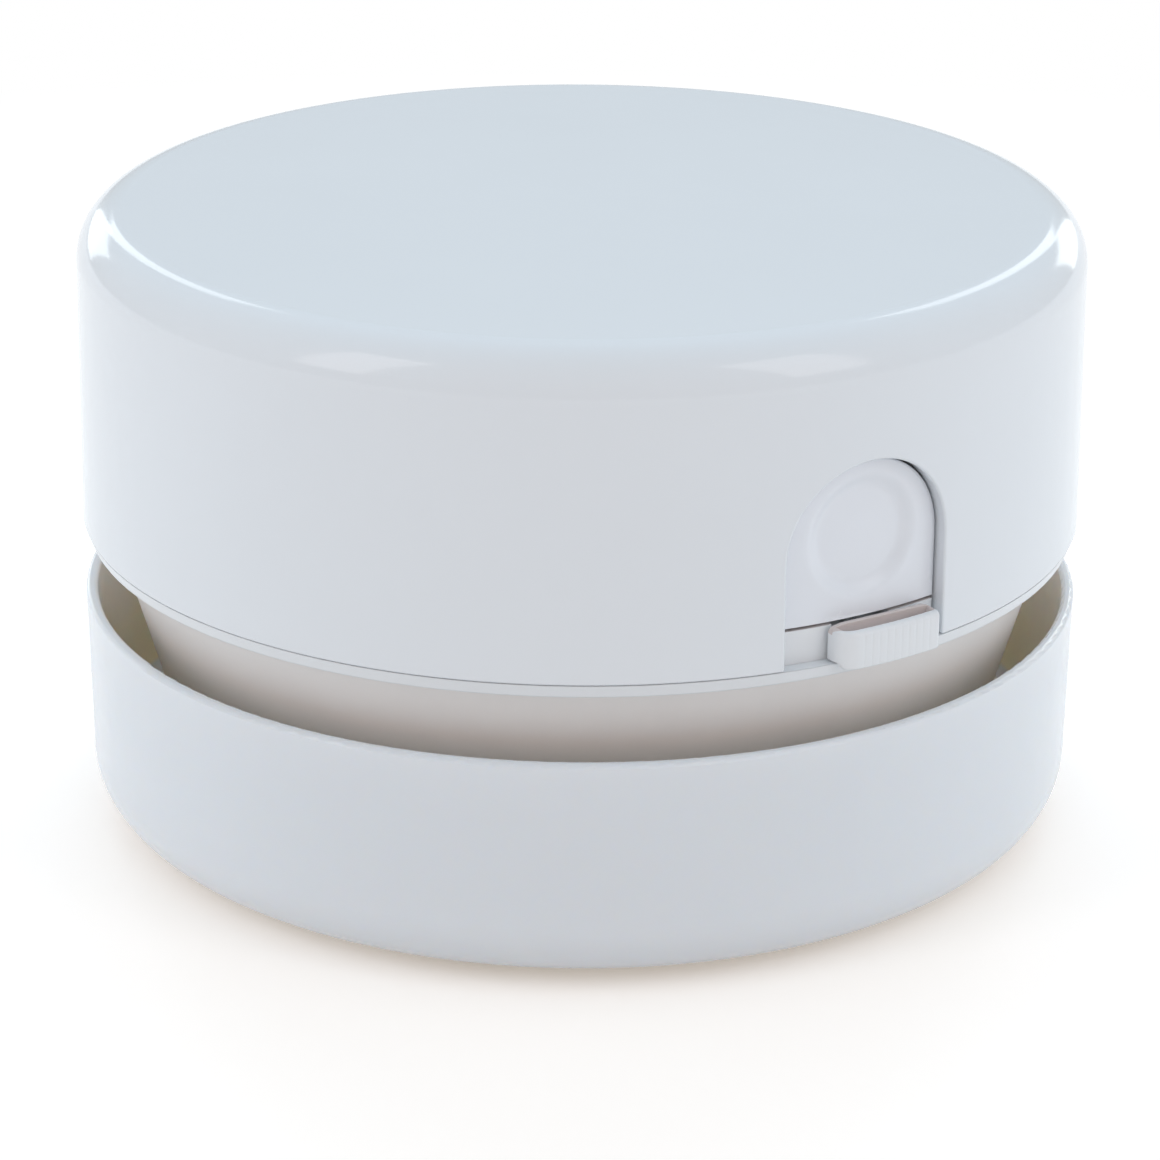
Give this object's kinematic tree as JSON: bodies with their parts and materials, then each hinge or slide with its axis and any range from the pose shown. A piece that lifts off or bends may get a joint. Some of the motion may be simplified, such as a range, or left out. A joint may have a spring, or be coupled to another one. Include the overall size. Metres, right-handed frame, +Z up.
{
  "type": "desktop vacuum cleaner",
  "caption": "Round white desktop vacuum cleaner: fan unit over a dust cup with a level exhaust gap, arched push key and ribbed slide knob, suction mouth and brush beneath.",
  "frame": {"origin": "centre of the round body on the table surface, under the feet", "axes": "+Z up along the body's and the fan's axis; the picture's viewpoint looks along +Y, with +X to the right; the controls are 31.9 degrees to the right of the front (-Y)"},
  "size_m": [0.0866, 0.0866, 0.0542],
  "materials": {
    "white_gloss": "gloss",
    "white_satin": "satin",
    "white_matte": "matte",
    "grey_plastic": "satin",
    "black_plastic": "matte",
    "dark_rubber": "matte",
    "filter_felt": "felt",
    "brush_fibre": "matte",
    "zinc_steel": "zinc plated",
    "screw_steel": "nickel plated",
    "spring_steel": "nickel plated",
    "bush_brass": "plain",
    "magnet": "matte",
    "copper_core": "enamelled copper",
    "cell_jacket": "printed sleeve",
    "board_green": "solder mask",
    "red_lead": "pvc",
    "black_lead": "pvc"
  },
  "bodies": {
    "dust_base": {"dust_cup": "white_gloss", "dust_tray": "white_gloss", "rubber_feet": "dark_rubber", "intake_nozzle": "white_matte", "base_plate": "white_matte", "base_screws": "screw_steel", "brush_ring": "grey_plastic", "brush_tufts": "brush_fibre"},
    "top_cover": {"top_cover": "white_gloss"},
    "power_knob": {"power_knob": "white_satin", "switch_lever": "black_plastic"},
    "push_key": {"push_key": "white_gloss", "tact_plunger": "black_plastic"},
    "fan_rotor": {"impeller": "white_matte", "motor_shaft": "spring_steel", "armature": "copper_core", "commutator": "bush_brass"},
    "upper_unit": {"fan_cone": "grey_plastic", "seal_ring": "dark_rubber", "inlet_plate": "grey_plastic", "filter_frame": "white_matte", "filter_cloth": "filter_felt", "chassis_deck": "white_satin", "cone_screws": "screw_steel", "motor_can": "zinc_steel", "motor_end_cap": "black_plastic", "motor_magnets": "magnet", "motor_bush": "bush_brass", "motor_terminals": "bush_brass", "motor_clamp": "zinc_steel", "clamp_screws": "screw_steel", "battery_tray": "white_matte", "tray_screws": "screw_steel", "battery_cell_front": "cell_jacket", "battery_cell_rear": "cell_jacket", "contact_bridge": "spring_steel", "contact_plates": "spring_steel", "contact_springs": "spring_steel", "switch_board": "board_green", "slide_switch": "zinc_steel", "tact_switch": "black_plastic", "switch_bezel": "white_satin", "bezel_screws": "screw_steel", "lead_in": "red_lead", "lead_motor": "red_lead", "lead_return": "black_lead"}
  },
  "joints": [
    {"name": "upper_lift", "type": "slide", "parent": "dust_base", "child": "upper_unit", "axis": [0, 0, 1], "range_m": [0, 0.03]},
    {"name": "cover_lift", "type": "slide", "parent": "upper_unit", "child": "top_cover", "axis": [0, 0, 1], "range_m": [0, 0.03]},
    {"name": "knob_slide", "type": "slide", "parent": "upper_unit", "child": "power_knob", "axis": [-0.849, -0.5284, 0], "range_m": [0, 0.003]},
    {"name": "key_press", "type": "slide", "parent": "upper_unit", "child": "push_key", "axis": [-0.5284, 0.849, 0], "range_m": [0, 0.0008], "stiffness_N_per_m": 1500, "springref_m": -0.0004},
    {"name": "fan_spin", "type": "hinge", "parent": "upper_unit", "child": "fan_rotor", "pos_m": [0, 0, 0.02], "axis": [0, 0, 1], "continuous": true}
  ]
}
